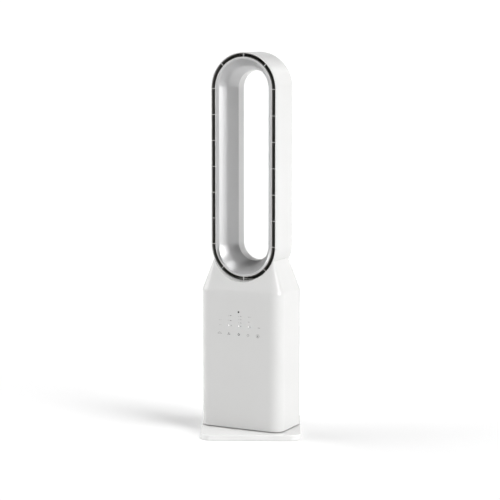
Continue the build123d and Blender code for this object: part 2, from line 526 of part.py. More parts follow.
# ================================================================ head: motor
motor_can = turned([(5, 204.4), (9.6, 204.4), (9.6, 211), (28, 211), (28, 244), (26.6, 244), (26.6, 212.5), (8.0, 212.5), (8.0, 205.4), (5, 205.4)])
for k in range(6):
    motor_can -= Rot(0, 0, 60 * k) * cyl(3.2, 209, 214, 17.5, 0)
put(motor_can, "motor_can", True)
bell_end = turned([(8.0, 244.0), (28, 244.0), (28, 245.6), (9.6, 245.6), (9.6, 252), (5, 252), (5, 251), (8.0, 251)])
for k in range(6):
    bell_end -= Rot(0, 0, 60 * k) * cyl(3.2, 240, 250, 17.5, 0)
put(bell_end, "motor_end_bell", True)
core = tube(26.5, 22.5, 218, 238)
for k in range(9):
    core += Rot(0, 0, 40 * k) * (block(15.0, 23, -2.2, 2.2, 218, 238))
    core += Rot(0, 0, 40 * k) * ((cyl(15.8, 218, 238) - cyl(14.5, 210, 240)) & block(0, 20, -4.0, 4.0, 210, 240))
core -= cyl(14.5, 200, 250)
put(core, "stator_core", True)
coil = block(16.3, 21.9, -4.4, 4.4, 215, 241) - block(10, 30, -2.3, 2.3, 217.9, 238.1)
put([Rot(0, 0, 40 * k) * coil for k in range(9)], "motor_windings", True)
put([tube(7.98, SHAFT_R + 0.03, 205.8, 210.8), tube(7.98, SHAFT_R + 0.03, 245.8, 250.8)], "motor_bearings", True)
put([tube(POD_R - 2.05, 28.05, 214, 220), tube(POD_R - 2.05, 28.05, 236, 242)], "motor_dampers", True)
put(cyl(SHAFT_R, 150, 251.6), "motor_shaft", True)
put(tube(13.8, SHAFT_R + 0.01, 217.5, 238.5), "rotor_magnet", True)

# impeller: cone hub with nine curved blades
hub = turned([(3.01, 157), (13, 157), (16, 160), (28, 182), (33, 198), (33, 200), (30.5, 200), (25.6, 183), (13.0, 166), (9.0, 166), (9.0, 200), (3.01, 200)])
b = blade(10, 60, 159, 197, 34, 3, 1.6)
b = b & cyl(TIP_R, 150, 205)
cone_cut = turned([(0, 150), (13, 150), (14.8, 160), (27.0, 182.4), (32, 198.2), (32, 210), (0, 210)])
b = b - cone_cut
blades = [Rot(0, 0, 40 * k) * b for k in range(9)]
imp = hub + blades
for k in range(3):
    imp += Rot(0, 0, 120 * k) * block(8.5, 26, -1, 1, 186, 199)
put(imp, "impeller", True)
nut = Pos(0, 0, 152.5) * extrude(RegularPolygon(6.0, 6), amount=4.4)
nut -= cyl(SHAFT_R + 0.01, 140, 170)
put(nut, "impeller_nut", True)

# ================================================================ head: boards
board = block(-72, 72, yi + 3.5, yi + 5.1, 249.5, 324.5)
for x, z in CB_SCREWS:
    board -= ycyl(1.4, yi, yi + 8, x, z)
board += block(-68, -58, yi + 5.0, yi + 11, 262, 270) + block(52, 66, yi + 5.0, yi + 7.0, 280, 294)
put(board, "control_board", True)
put([Plane((x, yi + 5.1, z), z_dir=(0, 1, 0)) * screw(2.4, 1.6, 1.2, 4.4) for x, z in CB_SCREWS], "control_board_screws", True)
put([ycyl(5.5, yi + 0.1, yi + 3.4, x, ICON_Z) - ycyl(3.5, yi, yi + 2.4, x, ICON_Z) for x in ICON_X], "touch_pads", True)
put([block(x - 1.4, x + 1.4, yi + 2.4, yi + 3.5, z - 0.8, z + 0.8) for x, z in LED_SPOTS], "indicator_leds", True)
lens = ycyl(2.25, -BODY_D / 2 - 0.05, yi + 2.9, 0, IR_Z) + ycyl(3.2, yi + 0.1, yi + 2.9, 0, IR_Z)
put(lens, "ir_window", True)

pb = block(-104, -102.4, -45, 32, 47, 128)
for y, z in PB_SCREWS:
    pb -= xcyl(1.6, -106, -100, y, z)
put(pb, "power_board", True)
pbp = [block(-102.4, -80, -30, -4, 62, 88), xcyl(8, -102.4, -76, 8, 70), xcyl(5, -102.4, -86, 24, 92), xcyl(5, -102.4, -86, 12, 92),
       block(-102.4, -92, -40, -28, 96, 112), block(-102.4, -84, -18, 2, 98, 122), block(-102.4, -94, 8, 26, 106, 114)]
put(pbp, "power_board_parts", True)
put([Plane((-102.4, y, z), z_dir=(1, 0, 0)) * screw(2.8, 1.8, 1.4, 6.5) for y, z in PB_SCREWS], "power_board_screws", True)


# ================================================================ head: leads held inside
def lead(points, r):
    """A round lead through the points, with the largest arcs that its runs allow."""
    radii = []
    for p, q, t in zip(points, points[1:], points[2:]):
        a, b = Vector(*q) - Vector(*p), Vector(*t) - Vector(*q)
        turn = radians(a.get_angle(b))
        radii.append(0.45 * min(a.length, b.length) / tan(turn / 2))
    path = FilletPolyline(*points, radius=radii)
    return sweep(Plane(path @ 0, z_dir=path % 0) * Circle(r), path=path)


put(lead([(-63, -58.4, 262), (-63, -58.4, 248), (-86, -42, 228), (-91, -34, 190), (-91, -33, 145), (-97, -34, 124), (-97, -34, 112)], 1.6), "control_lead", True)
put(lead([(-93, -6, 122), (-93, -6, 140), (-90, -5, 180), (-84, -2, 222), (-66, 0, LEAD_Z), (-48, 0.01, LEAD_Z), (-28.1, 0, LEAD_Z)], 1.8), "motor_lead", True)
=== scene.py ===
import json
import math

import bmesh
import bpy
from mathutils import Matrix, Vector


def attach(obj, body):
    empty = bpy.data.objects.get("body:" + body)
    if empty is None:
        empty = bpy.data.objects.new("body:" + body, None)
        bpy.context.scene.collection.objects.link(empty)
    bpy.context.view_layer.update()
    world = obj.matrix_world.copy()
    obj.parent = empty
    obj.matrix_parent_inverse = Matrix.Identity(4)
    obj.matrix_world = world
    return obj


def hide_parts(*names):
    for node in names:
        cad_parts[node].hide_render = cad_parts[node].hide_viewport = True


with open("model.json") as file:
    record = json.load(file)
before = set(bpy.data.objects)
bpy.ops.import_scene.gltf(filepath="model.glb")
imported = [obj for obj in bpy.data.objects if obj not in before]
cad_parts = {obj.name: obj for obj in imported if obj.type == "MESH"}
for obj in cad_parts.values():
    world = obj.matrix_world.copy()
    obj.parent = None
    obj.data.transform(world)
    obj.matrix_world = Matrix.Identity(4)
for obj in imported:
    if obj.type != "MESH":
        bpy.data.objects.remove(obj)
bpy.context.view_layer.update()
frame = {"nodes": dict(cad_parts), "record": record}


# ------------------------------------------------------------ material helpers
def material(name):
    m = bpy.data.materials.new(name)
    m.use_nodes = True
    t = m.node_tree
    b = next(n for n in t.nodes if n.type == "BSDF_PRINCIPLED")
    return m, t, b


def coords(t, scale=(1, 1, 1)):
    c = t.nodes.new("ShaderNodeTexCoord")
    mp = t.nodes.new("ShaderNodeMapping")
    mp.inputs["Scale"].default_value = scale
    t.links.new(c.outputs["Object"], mp.inputs["Vector"])
    return mp.outputs["Vector"]


def noise(t, vec, scale, detail=3.0, rough=0.55, dist=0.0):
    n = t.nodes.new("ShaderNodeTexNoise")
    n.inputs["Scale"].default_value = scale
    n.inputs["Detail"].default_value = detail
    n.inputs["Roughness"].default_value = rough
    n.inputs["Distortion"].default_value = dist
    t.links.new(vec, n.inputs["Vector"])
    return n.outputs["Fac"]


def spread(t, fac, lo, hi, a=0.3, b=0.7):
    r = t.nodes.new("ShaderNodeMapRange")
    r.inputs["From Min"].default_value = a
    r.inputs["From Max"].default_value = b
    r.inputs["To Min"].default_value = lo
    r.inputs["To Max"].default_value = hi
    t.links.new(fac, r.inputs["Value"])
    return r.outputs["Result"]


def ramp(t, fac, stops):
    r = t.nodes.new("ShaderNodeValToRGB")
    e = r.color_ramp.elements
    while len(e) < len(stops):
        e.new(0.5)
    for el, (pos, col) in zip(e, stops):
        el.position = pos
        el.color = (*col, 1)
    t.links.new(fac, r.inputs["Fac"])
    return r.outputs["Color"]


def bump(t, b, fac, strength, dist, base=None):
    n = t.nodes.new("ShaderNodeBump")
    n.inputs["Strength"].default_value = strength
    n.inputs["Distance"].default_value = dist
    t.links.new(fac, n.inputs["Height"])
    if base is not None:
        t.links.new(base, n.inputs["Normal"])
    return n.outputs["Normal"]


def plastic(name, dark, light, rough, rough_var=0.05, grain=1400, grain_d=0.000006, spec=0.5, coat=0.0, patch=60):
    m, t, b = material(name)
    v = coords(t)
    t.links.new(ramp(t, noise(t, v, 9, 4, 0.5), [(0.3, dark), (0.7, light)]), b.inputs["Base Color"])
    t.links.new(spread(t, noise(t, v, patch, 3, 0.5), rough - rough_var, rough + rough_var), b.inputs["Roughness"])
    n1 = bump(t, b, noise(t, v, grain, 2, 0.5), 0.35, grain_d)
    n2 = bump(t, b, noise(t, v, 14, 2, 0.4), 0.25, 0.00012, n1)
    t.links.new(n2, b.inputs["Normal"])
    b.inputs["Specular IOR Level"].default_value = spec
    b.inputs["Coat Weight"].default_value = coat
    b.inputs["Coat Roughness"].default_value = 0.2
    return m


def metal(name, dark, light, rough, rough_var=0.08, stretch=(1, 1, 1), grain=900, metallic=1.0, depth=0.00003):
    m, t, b = material(name)
    v = coords(t, stretch)
    t.links.new(ramp(t, noise(t, v, 40, 5, 0.6), [(0.3, dark), (0.7, light)]), b.inputs["Base Color"])
    t.links.new(spread(t, noise(t, v, 160, 4, 0.6), rough - rough_var, rough + rough_var), b.inputs["Roughness"])
    t.links.new(bump(t, b, noise(t, v, grain, 3, 0.6), 0.4, depth), b.inputs["Normal"])
    b.inputs["Metallic"].default_value = metallic
    return m


def satin_silver(name):
    m, t, b = material(name)
    v = coords(t)
    t.links.new(ramp(t, noise(t, v, 14, 3, 0.5), [(0.3, (0.548, 0.548, 0.551)), (0.7, (0.566, 0.566, 0.569))]), b.inputs["Base Color"])
    t.links.new(spread(t, noise(t, v, 35, 3, 0.5), 0.40, 0.44), b.inputs["Roughness"])
    b.inputs["Metallic"].default_value = 0.9
    b.inputs["Coat Weight"].default_value = 0.0
    return m


MATS = {
    "white_plastic": plastic("white_plastic", (0.630, 0.629, 0.623), (0.641, 0.640, 0.634), 0.225, 0.012, patch=7),
    "silver_paint": satin_silver("silver_paint"),
    "black_plastic": plastic("black_plastic", (0.036, 0.036, 0.037), (0.046, 0.046, 0.047), 0.42, 0.05),
    "grey_plastic": plastic("grey_plastic", (0.35, 0.355, 0.36), (0.4, 0.405, 0.41), 0.55, 0.08),
    "black_rubber": plastic("black_rubber", (0.02, 0.02, 0.02), (0.035, 0.034, 0.033), 0.75, 0.1, 900, 0.0001, 0.3),
    "white_rubber": plastic("white_rubber", (0.72, 0.72, 0.71), (0.76, 0.76, 0.75), 0.65, 0.08, 900, 0.00006, 0.35),
    "zinc_steel": metal("zinc_steel", (0.52, 0.53, 0.55), (0.66, 0.67, 0.68), 0.38, 0.06),
    "screw_steel": metal("screw_steel", (0.5, 0.5, 0.51), (0.6, 0.6, 0.61), 0.35, 0.05),
    "core_steel": metal("core_steel", (0.12, 0.12, 0.13), (0.2, 0.2, 0.21), 0.5, stretch=(1, 1, 30)),
    "bearing_steel": metal("bearing_steel", (0.7, 0.7, 0.71), (0.78, 0.78, 0.79), 0.16, 0.04),
    "copper_wire": metal("copper_wire", (0.55, 0.22, 0.09), (0.75, 0.36, 0.18), 0.36, 0.05, stretch=(1, 1, 8)),
    "brass_nut": metal("brass_nut", (0.65, 0.48, 0.2), (0.78, 0.62, 0.32), 0.36, 0.05),
    "gear_acetal": plastic("gear_acetal", (0.78, 0.77, 0.72), (0.83, 0.82, 0.78), 0.42),
    "impeller_plastic": plastic("impeller_plastic", (0.06, 0.06, 0.065), (0.1, 0.1, 0.105), 0.45),
    "filter_mesh": plastic("filter_mesh", (0.05, 0.05, 0.055), (0.09, 0.09, 0.095), 0.7),
    "green_board": plastic("green_board", (0.02, 0.14, 0.06), (0.03, 0.2, 0.09), 0.35),
    "led_lens": plastic("led_lens", (0.85, 0.85, 0.83), (0.9, 0.9, 0.88), 0.15),
    "smoked_window": plastic("smoked_window", (0.06, 0.056, 0.06), (0.08, 0.074, 0.08), 0.12, 0.03),
}


def ink(name, dark, light, rough=0.5, glow=0.0):
    m = plastic(name, dark, light, rough, 0.05, 2200, 0.00001, 0.4)
    b = next(n for n in m.node_tree.nodes if n.type == "BSDF_PRINCIPLED")
    b.inputs["Emission Color"].default_value = (1, 1, 1, 1)
    b.inputs["Emission Strength"].default_value = glow
    return m


INK = {
    "pale": ink("ink_grey", (0.20, 0.20, 0.20), (0.24, 0.24, 0.24)),
    "dark": ink("ink_dark", (0.035, 0.035, 0.037), (0.05, 0.05, 0.052)),
    "lit": ink("light_on", (0.85, 0.85, 0.84), (0.9, 0.9, 0.89), 0.36, 1.1),
}
# painted light: a lighter copy of the white plastic for the base, standing in for the overhead light on its top
BASE_PLASTIC_PAINTED_LIGHT = plastic("white_plastic_base_painted_light", (0.735, 0.734, 0.728), (0.747, 0.746, 0.740), 0.24, 0.012, patch=7)
# painted light: a much lighter copy of the white plastic for the rear lip of the opening, standing in for the light
# that reaches it
LIP_PAINTED_LIGHT = plastic("white_plastic_lip_painted_light", (0.855, 0.854, 0.848), (0.867, 0.866, 0.860), 0.24, 0.012, patch=7)
# painted light: the slot liner's black plastic made grey, standing in for the light on the slot's inner faces
LINER_PLASTIC_PAINTED_LIGHT = plastic("black_plastic_liner_painted_light", (0.172, 0.169, 0.158), (0.192, 0.189, 0.177), 0.42, 0.05)
OWN = {"base_top_cover": BASE_PLASTIC_PAINTED_LIGHT, "slot_liner": LINER_PLASTIC_PAINTED_LIGHT}
for sp in frame["record"]["subparts"]:
    o = frame["nodes"][sp["node"]]
    o.data.materials.clear()
    o.data.materials.append(OWN.get(sp["node"], MATS[sp["material_slot"]]))

# ------------------------------------------------------------ geometry helpers (millimetres)
TURN = math.radians(-26.0)
CT, ST = math.cos(TURN), math.sin(TURN)


def head_point(p):
    x, y, z = p
    return ((x * CT - y * ST) * 0.001, (x * ST + y * CT) * 0.001, z * 0.001)


def base_point(p):
    return (p[0] * 0.001, p[1] * 0.001, p[2] * 0.001)


def build(name, verts, faces, mat, body="head", place=head_point, merge=0.004, sharp=38, weighted=True):
    me = bpy.data.meshes.new(name)
    me.from_pydata([place(v) for v in verts], [], faces)
    bm = bmesh.new()
    bm.from_mesh(me)
    if merge:
        bmesh.ops.remove_doubles(bm, verts=bm.verts, dist=merge * 0.001)
    bmesh.ops.recalc_face_normals(bm, faces=bm.faces)
    bm.to_mesh(me)
    bm.free()
    me.shade_smooth()
    me.set_sharp_from_angle(angle=math.radians(sharp))
    me.materials.append(MATS[mat])
    o = bpy.data.objects.new(name, me)
    bpy.context.scene.collection.objects.link(o)
    if weighted:
        wn = o.modifiers.new("wn", "WEIGHTED_NORMAL")
        wn.keep_sharp = True
        wn.weight = 90
    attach(o, body)
    return o


class Parts:
    """Collects several closed shapes into one mesh."""
    def __init__(self):
        self.v, self.f = [], []

    def add(self, verts, faces):
        n = len(self.v)
        self.v += list(verts)
        self.f += [tuple(i + n for i in f) for f in faces]


def rounded(points, radii, seg=4, closed=True):
    """A polyline with an arc at each corner. A radius of 0 leaves the corner."""
    out = []
    n = len(points)
    for i, (p, r) in enumerate(zip(points, radii)):
        if r <= 0 or (not closed and i in (0, n - 1)):
            out.append(p)
            continue
        a, b = points[i - 1], points[(i + 1) % n]
        u = (a[0] - p[0], a[1] - p[1])
        w = (b[0] - p[0], b[1] - p[1])
        lu, lw = math.hypot(*u), math.hypot(*w)
        u, w = (u[0] / lu, u[1] / lu), (w[0] / lw, w[1] / lw)
        cosv = max(-1, min(1, u[0] * w[0] + u[1] * w[1]))
        half = math.acos(cosv) / 2
        d = r / math.tan(half)
        cx = p[0] + (u[0] + w[0]) / math.hypot(u[0] + w[0], u[1] + w[1]) * r / math.sin(half)
        cy = p[1] + (u[1] + w[1]) / math.hypot(u[0] + w[0], u[1] + w[1]) * r / math.sin(half)
        s = (p[0] + u[0] * d - cx, p[1] + u[1] * d - cy)
        e = (p[0] + w[0] * d - cx, p[1] + w[1] * d - cy)
        a0, a1 = math.atan2(s[1], s[0]), math.atan2(e[1], e[0])
        da = (a1 - a0 + math.pi) % (2 * math.pi) - math.pi
        for k in range(seg + 1):
            t = a0 + da * k / seg
            out.append((cx + r * math.cos(t), cy + r * math.sin(t)))
    return out


RING_LO, RING_HI = 479.6, 869.7


def stations(arc=72, leg=26, lo=RING_LO, hi=RING_HI):
    """(direction x, direction z, centre z) round the racetrack, anticlockwise from the right."""
    st = []
    for k in range(arc + 1):
        a = math.pi * k / arc
        st.append((math.cos(a), math.sin(a), hi))
    for k in range(1, leg):
        st.append((-1.0, 0.0, hi + (lo - hi) * k / leg))
    for k in range(arc + 1):
        a = math.pi + math.pi * k / arc
        st.append((math.cos(a), math.sin(a), lo))
    for k in range(1, leg):
        st.append((1.0, 0.0, lo + (hi - lo) * k / leg))
    return st


def sweep(profile, st=None):
    """A closed (r, y) profile carried round the racetrack."""
    st = st or stations()
    n, m = len(profile), len(st)
    v = [(r * cx, y, cz + r * cz0) for cx, cz0, cz in st for r, y in profile]
    f = []
    for i in range(m):
        j = (i + 1) % m
        for k in range(n):
            l = (k + 1) % n
            f.append((i * n + k, j * n + k, j * n + l, i * n + l))
    return v, f


def box_shape(x0, x1, y0, y1, z0, z1, r=0.0, turn=None):
    """A box with its edges along Y rounded when r is given."""
    if r:
        sec = rounded([(x0, z0), (x1, z0), (x1, z1), (x0, z1)], [r] * 4, 3)
    else:
        sec = [(x0, z0), (x1, z0), (x1, z1), (x0, z1)]
    n = len(sec)
    v = [(x, y0, z) for x, z in sec] + [(x, y1, z) for x, z in sec]
    f = [tuple(range(n - 1, -1, -1)), tuple(range(n, 2 * n))]
    f += [(i, (i + 1) % n, n + (i + 1) % n, n + i) for i in range(n)]
    if turn:
        v = [turn(p) for p in v]
    return v, f


# ------------------------------------------------------------ air ring
outer_profile = rounded([(90.3, -38.8), (90.3, 53.0), (45.6, 53.0), (45.6, 19.66), (48.0, 19.66), (48.0, 50.6), (88.4, 50.6), (88.4, -38.8)],
                        [0.45, 6.0, 6.0, 0.3, 0, 3.6, 3.6, 0], 7)
neck_o = rounded([(42, 31), (-42, 31), (-42, -31), (42, -31)], [10] * 4, 10)
neck_i = rounded([(39.6, 28.6), (-39.6, 28.6), (-39.6, -28.6), (39.6, -28.6)], [7.6] * 4, 10)


def upright(loop, z0, z1):
    n = len(loop)
    v = [(x, y, z0) for x, y in loop] + [(x, y, z1) for x, y in loop]
    return v, [tuple(range(n - 1, -1, -1)), tuple(range(n, 2 * n))] + [(i, (i + 1) % n, n + (i + 1) % n, n + i) for i in range(n)]


ring_shell = build("ring_shell", *sweep(outer_profile), "white_plastic", merge=0, weighted=False)
neck_tool = build("neck_tool", *upright(neck_o, 364.2, 395.4), "white_plastic", merge=0, weighted=False)
bore_tool = build("bore_tool", *upright(neck_i, 360.0, 405.0), "white_plastic", merge=0, weighted=False)
for tool, op in ((neck_tool, "UNION"), (bore_tool, "DIFFERENCE")):
    md = ring_shell.modifiers.new(op, "BOOLEAN")
    md.operation, md.solver, md.object = op, "EXACT", tool
dg = bpy.context.evaluated_depsgraph_get()
dg.update()
cut = bpy.data.meshes.new_from_object(ring_shell.evaluated_get(dg))
ring_shell.modifiers.clear()
ring_shell.data = cut
for tool in (neck_tool, bore_tool):
    bpy.data.objects.remove(tool)
cut.shade_smooth()
cut.set_sharp_from_angle(angle=math.radians(38))
# the lip round the rear of the opening takes a lighter copy of the white plastic: painted light standing in for the
# light that falls on it
cut.materials.clear()
cut.materials.append(MATS["white_plastic"])
cut.materials.append(LIP_PAINTED_LIGHT)
for p in cut.polygons:
    c = p.center * 1000
    x, y = c.x * CT + c.y * ST, -c.x * ST + c.y * CT
    r = math.hypot(x, c.z - min(max(c.z, RING_LO), RING_HI))
    p.material_index = 1 if r < 46.0 and y > 19.0 else 0
wn = ring_shell.modifiers.new("wn", "WEIGHTED_NORMAL")
wn.keep_sharp, wn.weight = True, 90
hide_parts("ring_outer_shell")


def inner(crease):
    """Profile of the silver surface: front band, funnel and throat, with its hidden side."""
    prof = rounded([(76.35, -43.95), crease, (63.6, -29.4), (57.0, -18.2), (45.6, 19.5)], [0, 0.3, 200.0, 50.0, 0], 10, closed=False)
    return prof + [(47.9, 19.5), (58.9, -18.3), (74.4, -40.6), (76.65, -41.4), (76.65, -43.8), (76.5, -43.95)]


# the front band is wide at the sides and narrow at the top and bottom of the ring
at_side, at_arc = inner((70.0, -39.5)), inner((73.6, -43.92))
st = stations()
iv = []
for cx, cz, zc in st:
    w = cx ** 8
    for (r0, y0), (r1, y1) in zip(at_arc, at_side):
        r, y = r0 + (r1 - r0) * w, y0 + (y1 - y0) * w
        iv.append((r * cx, y, zc + r * cz))
if_ = sweep(at_side)[1]
ring_inner = build("ring_inner_surface", iv, if_, "silver_paint", merge=0, sharp=50)
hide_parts("ring_inner_shell")

frame_parts = Parts()
frame_parts.add(*sweep(rounded([(88.4, -44.0), (90.3, -44.0), (90.3, -39.0), (88.4, -39.0)], [0.35, 0.9, 0.45, 0.2], 5)))
frame_parts.add(*sweep(rounded([(76.75, -44.0), (78.8, -44.0), (78.8, -41.0), (76.75, -41.0)], [0.4, 0.35, 0.1, 0.1], 4)))
for k in range(7):
    z = RING_LO + k * (RING_HI - RING_LO) / 6
    for s in (1, -1):
        x0, x1 = sorted((s * 78.3, s * 88.9))
        frame_parts.add(*box_shape(x0, x1, -43.65, -39.2, z - 0.6, z + 0.6, 0.28))
for zc, angles in ((RING_HI, (45, 90, 135)), (RING_LO, (225, 270, 315))):
    for a in angles:
        ca, sa = math.cos(math.radians(a)), math.sin(math.radians(a))
        frame_parts.add(*box_shape(78.3, 88.9, -43.65, -39.2, -0.6, 0.6, 0.28,
                                   lambda p: (p[0] * ca - p[2] * sa, p[1], zc + p[0] * sa + p[2] * ca)))
ring_front = build("ring_front_rim", frame_parts.v, frame_parts.f, "white_plastic", merge=0)
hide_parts("ring_front_frame")


# ------------------------------------------------------------ housing
W0, D0, R0, W1, D1, R1 = 228.0, 138.0, 30.0, 165.2, 86.0, 5.5
Z_BREAK, Z_TOP, Z_CUT = 365.0, 447.0, 444.0
POCKET = 90.55


def taper(z, soft=4.5):
    """Share of the way from the body's section to the shoulder's upper one, eased at the break."""
    d = z - Z_BREAK
    if d <= -soft:
        return 0.0
    if d >= soft:
        return d / (Z_TOP - Z_BREAK)
    return (d + soft) ** 2 / (4 * soft) / (Z_TOP - Z_BREAK)


def column(kind, a, z, inset=0.0):
    """Outline point at height z: kind is a side and a its share, or a corner and a its angle."""
    t = taper(z)
    w, d, r = (W0 + (W1 - W0) * t) / 2, (D0 + (D1 - D0) * t) / 2, R0 + (R1 - R0) * t
    if kind == "front":
        return ((-1 + 2 * a) * (w - r), -d + inset)
    if kind == "back":
        return ((1 - 2 * a) * (w - r), d - inset)
    if kind == "right":
        return (w - inset, (-1 + 2 * a) * (d - r))
    if kind == "left":
        return (-w + inset, (1 - 2 * a) * (d - r))
    cx, cy = {"fr": (w - r, -(d - r)), "br": (w - r, d - r), "bl": (-(w - r), d - r), "fl": (-(w - r), -(d - r))}[kind]
    return (cx + (r - inset) * math.cos(a), cy + (r - inset) * math.sin(a))


NF, NS, NC = 56, 16, 14
cols = [("front", k / NF) for k in range(NF)]
cols += [("fr", -math.pi / 2 + math.pi / 2 * k / NC) for k in range(NC)]
cols += [("right", k / NS) for k in range(NS)]
cols += [("br", math.pi / 2 * k / NC) for k in range(NC)]
cols += [("back", k / NF) for k in range(NF)]
cols += [("bl", math.pi / 2 + math.pi / 2 * k / NC) for k in range(NC)]
cols += [("left", k / NS) for k in range(NS)]
cols += [("fl", math.pi + math.pi / 2 * k / NC) for k in range(NC)]
NCOL = len(cols)
i_seam_r = NF + NC + NS            # first column on the rear right corner, at y = 39
i_seam_l = NF + NC + NS + NC + NF + NC   # first column of the left side, at y = 39


def end_height(c):
    """Where a column meets the round pocket, or the level cut beside it."""
    def gap(z):
        x = column(*c, z)[0]
        return x * x + (z - RING_LO) ** 2 - POCKET**2
    lo, hi = 372.0, Z_CUT
    if gap(hi) > 0:
        return hi, False
    for _ in range(50):
        mid = (lo + hi) / 2
        if gap(mid) > 0:
            lo = mid
        else:
            hi = mid
    return hi, True


def section(c, w, d, r):
    """Point of a rounded rectangle with half sizes w and d, for the same side or corner share as a column."""
    kind, a = c
    if kind == "front":
        return ((-1 + 2 * a) * (w - r), -d)
    if kind == "back":
        return ((1 - 2 * a) * (w - r), d)
    if kind == "right":
        return (w, (-1 + 2 * a) * (d - r))
    if kind == "left":
        return (-w, (1 - 2 * a) * (d - r))
    cx, cy = {"fr": (w - r, -(d - r)), "br": (w - r, d - r), "bl": (-(w - r), d - r), "fl": (-(w - r), -(d - r))}[kind]
    return (cx + r * math.cos(a), cy + r * math.sin(a))


def inner_end(c, radius):
    """Height where a column of the inner surface meets the pocket's hidden side."""
    lo, hi = 366.0, 446.0
    for _ in range(50):
        mid = (lo + hi) / 2
        x = column(*c, mid, 2.5)[0]
        if x * x + (mid - RING_LO) ** 2 > radius**2:
            lo = mid
        else:
            hi = mid
    return (lo + hi) / 2


LIP, THICK = 0.7, 2.5
POCKET_IN = POCKET + THICK
EDGE_X = math.sqrt(POCKET**2 - (Z_CUT - RING_LO) ** 2)
SHARES = [0.06, 0.16, 0.3, 0.45, 0.6, 0.75, 0.88, 1.0]
upper = [352.0, 355.0, 358.0] + [358 + 14 * k / 12 for k in range(1, 13)]
grid = []
for c in cols:
    z_end, on_pocket = end_height(c)
    front_half = column(*c, 380)[1] < 0
    ln = LIP if on_pocket else 0.22
    line = [(*column(*c, z), z) for z in upper + [372 + (z_end - ln - 372) * (k / 14) for k in range(1, 15)]]
    x, y = column(*c, z_end)
    top = Vector((x, y, z_end))
    along = (Vector(line[-1]) - top).normalized()
    inward = Vector((0, 1 if front_half else -1, 0)) if on_pocket else Vector((-1 if x > 0 else 1, 0, 0))
    for k in range(1, 6):
        th = math.radians(90 * k / 5)
        line.append(tuple(top + along * ln * (1 - math.sin(th)) + inward * ln * (1 - math.cos(th))))
    if on_pocket:
        bx, by = line[-1][0], line[-1][1]
        line.append((bx, by, RING_LO - math.sqrt(POCKET**2 - bx * bx)))
        line.pop(-2)
        line.insert(-1, tuple((Vector(line[-2]) + Vector(line[-1])) / 2))
    else:
        bx, by = math.copysign(EDGE_X, x), y
        line.append((bx, by, Z_CUT))
    hx, hy = section(c, 42.4, 31.4, 10.4)
    for q in SHARES:
        px, py = bx + (hx - bx) * q, by + (hy - by) * q
        line.append((px, py, RING_LO - math.sqrt(POCKET**2 - px * px)))
    z_in = inner_end(c, POCKET_IN)
    ix, iy = column(*c, z_in, THICK)
    for q in reversed([0.0] + SHARES):
        px, py = ix + (hx - ix) * q, iy + (hy - iy) * q
        line.append((px, py, RING_LO - math.sqrt(POCKET_IN**2 - px * px)))
    for z in [z_in + (372 - z_in) * k / 12 for k in range(1, 13)] + [368.0, 364.0, 360.0, 352.0]:
        line.append((*column(*c, z, THICK), z))
    grid.append(line)
nrow = len(grid[0])
house = Parts()
house.add([p for line in grid for p in line],
          [(i * nrow + k, ((i + 1) % NCOL) * nrow + k, ((i + 1) % NCOL) * nrow + k + 1, i * nrow + k + 1) for i in range(NCOL) for k in range(nrow - 1)])

# the rear edge above the cover
rear = [i % NCOL for i in range(i_seam_r, i_seam_l + 1)]
edge = [[(*column(*cols[i], 352.0), 352.0), (*column(*cols[i], 352.0, THICK), 352.0)] for i in rear]
house.add([p for e in edge for p in e], [(2 * i, 2 * i + 2, 2 * i + 3, 2 * i + 1) for i in range(len(edge) - 1)])

# front and sides below the cover's top level
front_cols = [i % NCOL for i in range(i_seam_l, i_seam_r + NCOL + 1)]
Z_LOW = 16.4
lower = []
for i in front_cols:
    x, y = column(*cols[i], 200.0)
    xi, yi = column(*cols[i], 200.0, THICK)
    nx, ny = (xi - x) / THICK, (yi - y) / THICK
    line = [(x, y, z) for z in (352.0, 340.0, 300.0, 240.0, 180.0, 120.0, 60.0, 24.0)]
    for k in range(6):
        th = math.radians(90 * k / 5)
        off = 0.9 * (1 - math.cos(th))
        line.append((x + nx * off, y + ny * off, Z_LOW + 0.9 * (1 - math.sin(th))))
    line += [(xi - nx * 0.3, yi - ny * 0.3, Z_LOW), (xi, yi, Z_LOW + 0.3)]
    line += [(xi, yi, z) for z in (24.0, 60.0, 120.0, 180.0, 240.0, 300.0, 340.0, 352.0)]
    lower.append(line)
nlow = len(lower[0])
low_faces = [(i * nlow + k, (i + 1) * nlow + k, (i + 1) * nlow + k + 1, i * nlow + k + 1) for i in range(len(lower) - 1) for k in range(nlow - 1)]
low_faces += [tuple(range(nlow)), tuple(range((len(lower) - 1) * nlow, len(lower) * nlow))]
house.add([p for line in lower for p in line], low_faces)
housing = build("body_housing", house.v, house.f, "white_plastic", merge=0.002)
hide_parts("front_housing")


# ------------------------------------------------------------ printed marks, lights and receiver window on the front
def plate(poly, y0=-69.045, y1=-68.99):
    """A flat convex shape on the front, with a small thickness."""
    n = len(poly)
    v = [(x, y0, z) for x, z in poly] + [(x, y1, z) for x, z in poly]
    f = [tuple(range(n)), tuple(range(2 * n - 1, n - 1, -1))]
    f += [((i + 1) % n, i, n + i, n + (i + 1) % n) for i in range(n)]
    return v, f


